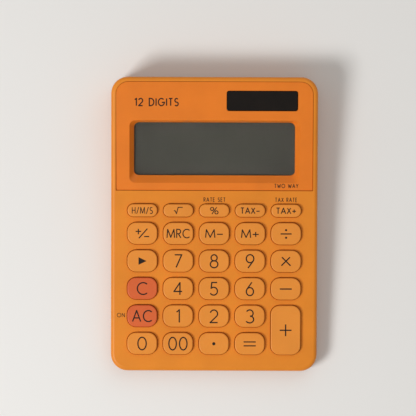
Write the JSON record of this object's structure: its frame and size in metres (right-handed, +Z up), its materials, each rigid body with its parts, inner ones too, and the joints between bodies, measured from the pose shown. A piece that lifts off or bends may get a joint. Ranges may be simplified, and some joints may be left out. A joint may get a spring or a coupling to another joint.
{
  "type": "desk calculator",
  "caption": "Wedge-shaped desk calculator with a sunk display, a solar window and sprung keys on a sloping deck.",
  "frame": {"origin": "on the surface it stands on, under the middle of its outline", "axes": "+Z up, +Y to the rear (the display end), +X to the right as its user sees it"},
  "size_m": [0.105, 0.1494, 0.0228],
  "materials": {
    "orange_plastic": "moulded, fine satin texture, light orange",
    "panel_plastic": "moulded, satin, a redder orange",
    "key_plastic": "moulded, satin, light orange",
    "red_plastic": "moulded, satin, orange-red",
    "print_ink": "dark brown printing ink, only on the prints",
    "rear_plastic": "moulded, spark-eroded texture",
    "clear_plastic": "clear, polished",
    "smoked_plastic": "dark, polished",
    "lcd_grey": "dark grey-green, display off",
    "solar_film": "dark brown cell strips",
    "white_plastic": "moulded, off-white",
    "film_amber": "amber film",
    "board_laminate": "brown laminate",
    "black_resin": "black potting resin",
    "capacitor_sleeve": "dark blue sleeve",
    "keypad_rubber": "pale grey silicone",
    "foot_rubber": "black rubber",
    "screw_steel": "zinc plated",
    "cell_steel": "nickel plated",
    "contact_nickel": "nickel plated spring strip",
    "label_foil": "blank foil label",
    "red_vinyl": "red insulation",
    "black_vinyl": "black insulation"
  },
  "bodies": {
    "housing": {"battery_contact_minus": "contact_nickel", "battery_contact_plus": "contact_nickel", "battery_lead_black": "black_vinyl", "battery_lead_red": "red_vinyl", "button_cell": "cell_steel", "capacitor": "capacitor_sleeve", "case_screw_front_left": "screw_steel", "case_screw_front_right": "screw_steel", "case_screw_rear_left": "screw_steel", "case_screw_rear_right": "screw_steel", "chip_blob": "black_resin", "display_lens": "clear_plastic", "display_panel": "panel_plastic", "foot_front_left": "foot_rubber", "foot_front_right": "foot_rubber", "foot_rear_left": "foot_rubber", "foot_rear_right": "foot_rubber", "front_shell": "orange_plastic", "lcd_flex": "film_amber", "lcd_glass": "lcd_grey", "lcd_holder": "white_plastic", "main_board": "board_laminate", "rating_label": "label_foil", "rear_case": "rear_plastic", "rubber_keypad": "keypad_rubber", "solar_cell": "solar_film", "solar_lead_black": "black_vinyl", "solar_lead_red": "red_vinyl", "solar_lens": "smoked_plastic"},
    "battery_cover": {"battery_cover": "rear_plastic", "battery_cover_screw": "screw_steel"},
    "key_0": {"key_0": "key_plastic"},
    "key_00": {"key_00": "key_plastic"},
    "key_point": {"key_point": "key_plastic"},
    "key_equals": {"key_equals": "key_plastic"},
    "key_all_clear": {"key_all_clear": "red_plastic"},
    "key_1": {"key_1": "key_plastic"},
    "key_2": {"key_2": "key_plastic"},
    "key_3": {"key_3": "key_plastic"},
    "key_clear": {"key_clear": "red_plastic"},
    "key_4": {"key_4": "key_plastic"},
    "key_5": {"key_5": "key_plastic"},
    "key_6": {"key_6": "key_plastic"},
    "key_subtract": {"key_subtract": "key_plastic"},
    "key_backspace": {"key_backspace": "key_plastic"},
    "key_7": {"key_7": "key_plastic"},
    "key_8": {"key_8": "key_plastic"},
    "key_9": {"key_9": "key_plastic"},
    "key_multiply": {"key_multiply": "key_plastic"},
    "key_sign": {"key_sign": "key_plastic"},
    "key_memory_recall": {"key_memory_recall": "key_plastic"},
    "key_memory_minus": {"key_memory_minus": "key_plastic"},
    "key_memory_plus": {"key_memory_plus": "key_plastic"},
    "key_divide": {"key_divide": "key_plastic"},
    "key_hms": {"key_hms": "key_plastic"},
    "key_root": {"key_root": "key_plastic"},
    "key_percent": {"key_percent": "key_plastic"},
    "key_tax_minus": {"key_tax_minus": "key_plastic"},
    "key_tax_plus": {"key_tax_plus": "key_plastic"},
    "key_add": {"key_add": "key_plastic"}
  },
  "joints": [
    {"name": "battery_cover_removal", "type": "slide", "parent": "housing", "child": "battery_cover", "axis": [0, 0, -1], "range_m": [0, 0.015]},
    {"name": "key_0_press", "type": "slide", "parent": "housing", "child": "key_0", "axis": [0, 0.0698, -0.9976], "range_m": [0, 0.0012], "stiffness_N_per_m": 500, "springref_m": -0.0005, "deforming": ["rubber_keypad"]},
    {"name": "key_00_press", "type": "slide", "parent": "housing", "child": "key_00", "axis": [0, 0.0698, -0.9976], "range_m": [0, 0.0012], "stiffness_N_per_m": 500, "springref_m": -0.0005, "deforming": ["rubber_keypad"]},
    {"name": "key_point_press", "type": "slide", "parent": "housing", "child": "key_point", "axis": [0, 0.0698, -0.9976], "range_m": [0, 0.0012], "stiffness_N_per_m": 500, "springref_m": -0.0005, "deforming": ["rubber_keypad"]},
    {"name": "key_equals_press", "type": "slide", "parent": "housing", "child": "key_equals", "axis": [0, 0.0698, -0.9976], "range_m": [0, 0.0012], "stiffness_N_per_m": 500, "springref_m": -0.0005, "deforming": ["rubber_keypad"]},
    {"name": "key_all_clear_press", "type": "slide", "parent": "housing", "child": "key_all_clear", "axis": [0, 0.0698, -0.9976], "range_m": [0, 0.0012], "stiffness_N_per_m": 500, "springref_m": -0.0005, "deforming": ["rubber_keypad"]},
    {"name": "key_1_press", "type": "slide", "parent": "housing", "child": "key_1", "axis": [0, 0.0698, -0.9976], "range_m": [0, 0.0012], "stiffness_N_per_m": 500, "springref_m": -0.0005, "deforming": ["rubber_keypad"]},
    {"name": "key_2_press", "type": "slide", "parent": "housing", "child": "key_2", "axis": [0, 0.0698, -0.9976], "range_m": [0, 0.0012], "stiffness_N_per_m": 500, "springref_m": -0.0005, "deforming": ["rubber_keypad"]},
    {"name": "key_3_press", "type": "slide", "parent": "housing", "child": "key_3", "axis": [0, 0.0698, -0.9976], "range_m": [0, 0.0012], "stiffness_N_per_m": 500, "springref_m": -0.0005, "deforming": ["rubber_keypad"]},
    {"name": "key_clear_press", "type": "slide", "parent": "housing", "child": "key_clear", "axis": [0, 0.0698, -0.9976], "range_m": [0, 0.0012], "stiffness_N_per_m": 500, "springref_m": -0.0005, "deforming": ["rubber_keypad"]},
    {"name": "key_4_press", "type": "slide", "parent": "housing", "child": "key_4", "axis": [0, 0.0698, -0.9976], "range_m": [0, 0.0012], "stiffness_N_per_m": 500, "springref_m": -0.0005, "deforming": ["rubber_keypad"]},
    {"name": "key_5_press", "type": "slide", "parent": "housing", "child": "key_5", "axis": [0, 0.0698, -0.9976], "range_m": [0, 0.0012], "stiffness_N_per_m": 500, "springref_m": -0.0005, "deforming": ["rubber_keypad"]},
    {"name": "key_6_press", "type": "slide", "parent": "housing", "child": "key_6", "axis": [0, 0.0698, -0.9976], "range_m": [0, 0.0012], "stiffness_N_per_m": 500, "springref_m": -0.0005, "deforming": ["rubber_keypad"]},
    {"name": "key_subtract_press", "type": "slide", "parent": "housing", "child": "key_subtract", "axis": [0, 0.0698, -0.9976], "range_m": [0, 0.0012], "stiffness_N_per_m": 500, "springref_m": -0.0005, "deforming": ["rubber_keypad"]},
    {"name": "key_backspace_press", "type": "slide", "parent": "housing", "child": "key_backspace", "axis": [0, 0.0698, -0.9976], "range_m": [0, 0.0012], "stiffness_N_per_m": 500, "springref_m": -0.0005, "deforming": ["rubber_keypad"]},
    {"name": "key_7_press", "type": "slide", "parent": "housing", "child": "key_7", "axis": [0, 0.0698, -0.9976], "range_m": [0, 0.0012], "stiffness_N_per_m": 500, "springref_m": -0.0005, "deforming": ["rubber_keypad"]},
    {"name": "key_8_press", "type": "slide", "parent": "housing", "child": "key_8", "axis": [0, 0.0698, -0.9976], "range_m": [0, 0.0012], "stiffness_N_per_m": 500, "springref_m": -0.0005, "deforming": ["rubber_keypad"]},
    {"name": "key_9_press", "type": "slide", "parent": "housing", "child": "key_9", "axis": [0, 0.0698, -0.9976], "range_m": [0, 0.0012], "stiffness_N_per_m": 500, "springref_m": -0.0005, "deforming": ["rubber_keypad"]},
    {"name": "key_multiply_press", "type": "slide", "parent": "housing", "child": "key_multiply", "axis": [0, 0.0698, -0.9976], "range_m": [0, 0.0012], "stiffness_N_per_m": 500, "springref_m": -0.0005, "deforming": ["rubber_keypad"]},
    {"name": "key_sign_press", "type": "slide", "parent": "housing", "child": "key_sign", "axis": [0, 0.0698, -0.9976], "range_m": [0, 0.0012], "stiffness_N_per_m": 500, "springref_m": -0.0005, "deforming": ["rubber_keypad"]},
    {"name": "key_memory_recall_press", "type": "slide", "parent": "housing", "child": "key_memory_recall", "axis": [0, 0.0698, -0.9976], "range_m": [0, 0.0012], "stiffness_N_per_m": 500, "springref_m": -0.0005, "deforming": ["rubber_keypad"]},
    {"name": "key_memory_minus_press", "type": "slide", "parent": "housing", "child": "key_memory_minus", "axis": [0, 0.0698, -0.9976], "range_m": [0, 0.0012], "stiffness_N_per_m": 500, "springref_m": -0.0005, "deforming": ["rubber_keypad"]},
    {"name": "key_memory_plus_press", "type": "slide", "parent": "housing", "child": "key_memory_plus", "axis": [0, 0.0698, -0.9976], "range_m": [0, 0.0012], "stiffness_N_per_m": 500, "springref_m": -0.0005, "deforming": ["rubber_keypad"]},
    {"name": "key_divide_press", "type": "slide", "parent": "housing", "child": "key_divide", "axis": [0, 0.0698, -0.9976], "range_m": [0, 0.0012], "stiffness_N_per_m": 500, "springref_m": -0.0005, "deforming": ["rubber_keypad"]},
    {"name": "key_hms_press", "type": "slide", "parent": "housing", "child": "key_hms", "axis": [0, 0.0698, -0.9976], "range_m": [0, 0.0012], "stiffness_N_per_m": 500, "springref_m": -0.0005, "deforming": ["rubber_keypad"]},
    {"name": "key_root_press", "type": "slide", "parent": "housing", "child": "key_root", "axis": [0, 0.0698, -0.9976], "range_m": [0, 0.0012], "stiffness_N_per_m": 500, "springref_m": -0.0005, "deforming": ["rubber_keypad"]},
    {"name": "key_percent_press", "type": "slide", "parent": "housing", "child": "key_percent", "axis": [0, 0.0698, -0.9976], "range_m": [0, 0.0012], "stiffness_N_per_m": 500, "springref_m": -0.0005, "deforming": ["rubber_keypad"]},
    {"name": "key_tax_minus_press", "type": "slide", "parent": "housing", "child": "key_tax_minus", "axis": [0, 0.0698, -0.9976], "range_m": [0, 0.0012], "stiffness_N_per_m": 500, "springref_m": -0.0005, "deforming": ["rubber_keypad"]},
    {"name": "key_tax_plus_press", "type": "slide", "parent": "housing", "child": "key_tax_plus", "axis": [0, 0.0698, -0.9976], "range_m": [0, 0.0012], "stiffness_N_per_m": 500, "springref_m": -0.0005, "deforming": ["rubber_keypad"]},
    {"name": "key_add_press", "type": "slide", "parent": "housing", "child": "key_add", "axis": [0, 0.0698, -0.9976], "range_m": [0, 0.0012], "stiffness_N_per_m": 500, "springref_m": -0.0005, "deforming": ["rubber_keypad"]}
  ]
}
